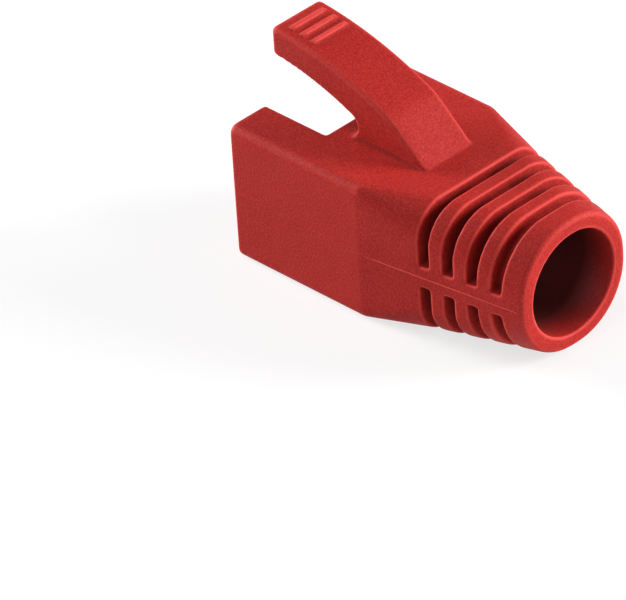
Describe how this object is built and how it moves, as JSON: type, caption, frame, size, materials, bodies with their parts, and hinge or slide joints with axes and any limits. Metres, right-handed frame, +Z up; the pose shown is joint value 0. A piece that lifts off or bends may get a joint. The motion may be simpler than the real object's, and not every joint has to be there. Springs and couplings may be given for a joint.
{
  "type": "rj45 strain relief boot",
  "caption": "Soft one-piece strain relief boot for a modular plug, with an open plug socket, a raised latch guard lever and a grooved flexible tail.",
  "frame": {"origin": "on the plane the flat underside rests on, under the middle of the boot's length and width", "axes": "+X across the plug opening, +Y from the plug opening to the cable tail, +Z up from the flat underside to the latch guard lever"},
  "size_m": [0.0144, 0.0272, 0.0176],
  "materials": {
    "boot_compound": "fine matt moulded texture with soft sheen on the edges"
  },
  "bodies": {
    "root": {"strain_relief_boot": "boot_compound"}
  },
  "joints": []
}
